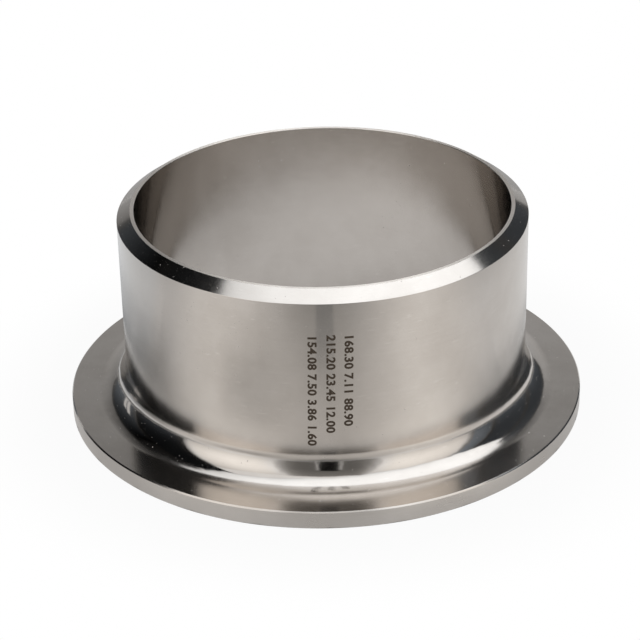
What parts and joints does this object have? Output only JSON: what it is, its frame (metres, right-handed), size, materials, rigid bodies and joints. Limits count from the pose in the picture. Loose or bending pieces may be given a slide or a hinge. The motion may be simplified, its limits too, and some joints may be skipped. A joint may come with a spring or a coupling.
{
  "type": "lap joint stub end",
  "caption": "Short pipe stub turned from one piece, with a weld bevel at one end and a flat lap at the other that a loose backing flange clamps against a gasket.",
  "frame": {"origin": "centre of the gasket face, on the plane that the part stands on", "axes": "+Z along the pipe axis, from the gasket face towards the weld end; the part is the same all round it"},
  "size_m": [0.2152, 0.2152, 0.0889],
  "materials": {
    "steel": "turned stainless steel, satin on the barrel and bore, bright on the fillet and weld bevel"
  },
  "bodies": {
    "root": {"stub_end": "steel"}
  },
  "joints": []
}
